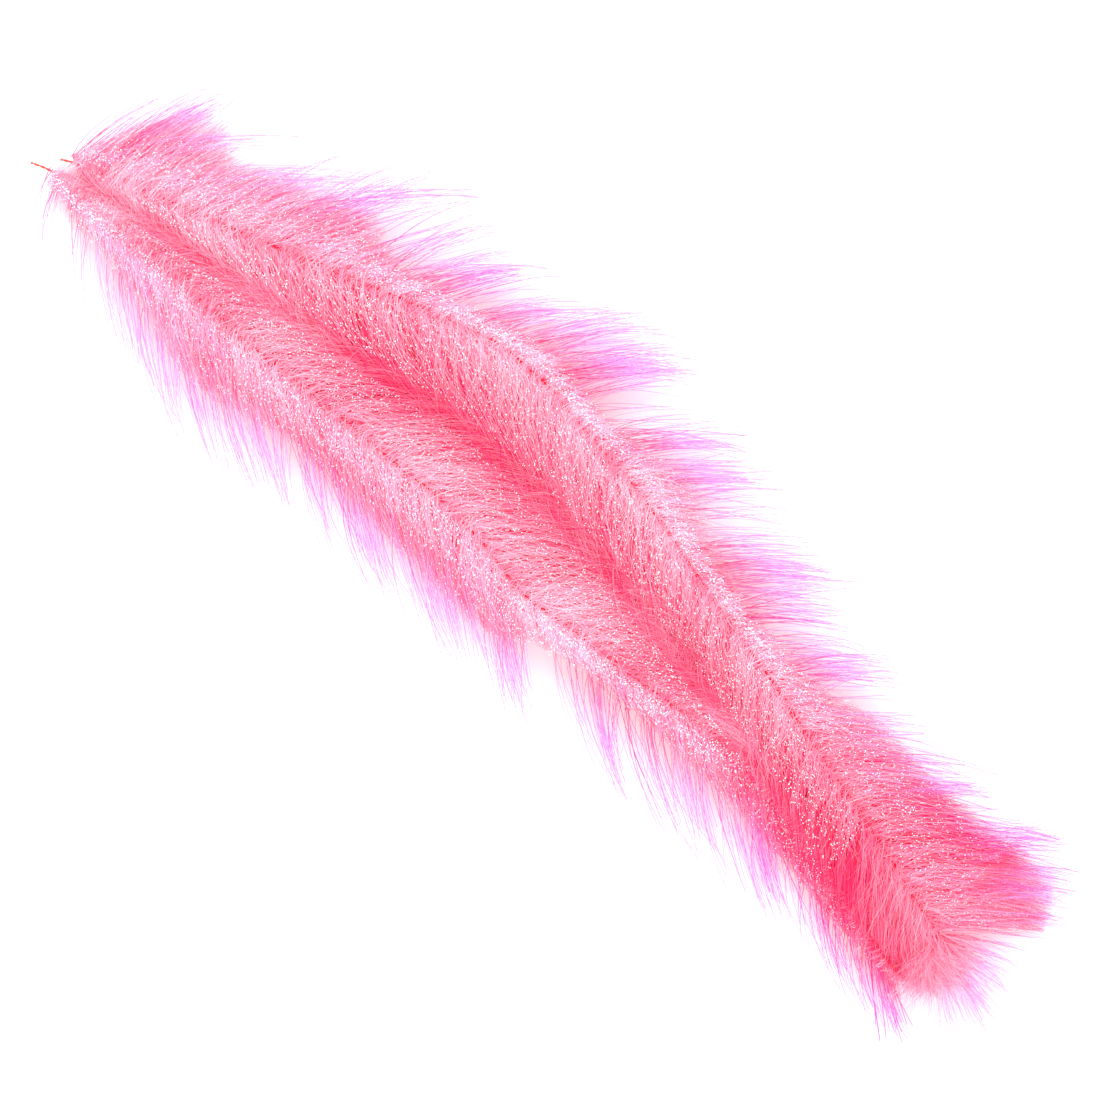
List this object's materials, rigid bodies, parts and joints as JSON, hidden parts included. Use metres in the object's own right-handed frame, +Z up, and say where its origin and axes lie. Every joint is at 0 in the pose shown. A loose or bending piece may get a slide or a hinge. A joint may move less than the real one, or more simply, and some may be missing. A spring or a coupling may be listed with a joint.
{
  "type": "feather boa",
  "caption": "Long fluffy costume boa of fine shiny filaments on a thin twisted core thread, folded in half; the fold opens and the halves drape and swing.",
  "frame": {"origin": "on the table under the middle of the folded boa's box", "axes": "+X from the two free ends to the fold, +Y from half a to half b, +Z up from the table"},
  "size_m": [0.8094, 0.2532, 0.05],
  "materials": {
    "core_thread": "twisted two-ply thread, crimson, slightly shiny",
    "tail_thread": "twisted thread, orange red, satin",
    "pile": "dense fine filaments, salmon pink with hot pink depths and small glints",
    "fringe": "long fine filaments, pink to lilac at the tips, glossy"
  },
  "bodies": {
    "link_a1": {"core_a1": "core_thread", "pile_a1": "pile", "fringe_a1": "fringe", "core_fold": "core_thread", "pile_fold": "pile", "fringe_fold": "fringe"},
    "link_a2": {"core_a2": "core_thread", "pile_a2": "pile", "fringe_a2": "fringe"},
    "link_a3": {"core_a3": "core_thread", "pile_a3": "pile", "fringe_a3": "fringe"},
    "link_a4": {"core_a4": "core_thread", "pile_a4": "pile", "fringe_a4": "fringe", "knot_a": "core_thread", "tail_a": "tail_thread"},
    "link_b1": {"core_b1": "core_thread", "pile_b1": "pile", "fringe_b1": "fringe"},
    "link_b2": {"core_b2": "core_thread", "pile_b2": "pile", "fringe_b2": "fringe"},
    "link_b3": {"core_b3": "core_thread", "pile_b3": "pile", "fringe_b3": "fringe"},
    "link_b4": {"core_b4": "core_thread", "pile_b4": "pile", "fringe_b4": "fringe", "knot_b": "core_thread", "tail_b": "tail_thread"}
  },
  "joints": [
    {"name": "fold", "type": "hinge", "parent": "link_a1", "child": "link_b1", "pos_m": [0.33258, -0.06851, 0.04], "axis": [0, 0, -1], "range_deg": [0, 170], "deforming": ["core_fold", "pile_fold", "fringe_fold"]},
    {"name": "drape_a1", "type": "hinge", "parent": "link_a1", "child": "link_a2", "pos_m": [0.15058, -0.04851, 0.04], "axis": [0, 1, 0], "range_deg": [-60, 60]},
    {"name": "swing_a2", "type": "hinge", "parent": "link_a2", "child": "link_a3", "pos_m": [-0.03442, -0.05051, 0.04], "axis": [0, 0, 1], "range_deg": [0, 30]},
    {"name": "drape_a3", "type": "hinge", "parent": "link_a3", "child": "link_a4", "pos_m": [-0.21942, -0.04951, 0.04], "axis": [0, 1, 0], "range_deg": [-60, 60]},
    {"name": "drape_b1", "type": "hinge", "parent": "link_b1", "child": "link_b2", "pos_m": [0.15058, 0.00049, 0.04], "axis": [0, 1, 0], "range_deg": [-60, 60]},
    {"name": "swing_b2", "type": "hinge", "parent": "link_b2", "child": "link_b3", "pos_m": [-0.03442, 0.04349, 0.04], "axis": [0, 0, -1], "range_deg": [0, 30]},
    {"name": "drape_b3", "type": "hinge", "parent": "link_b3", "child": "link_b4", "pos_m": [-0.21942, 0.01649, 0.04], "axis": [0, 1, 0], "range_deg": [-60, 60]}
  ]
}
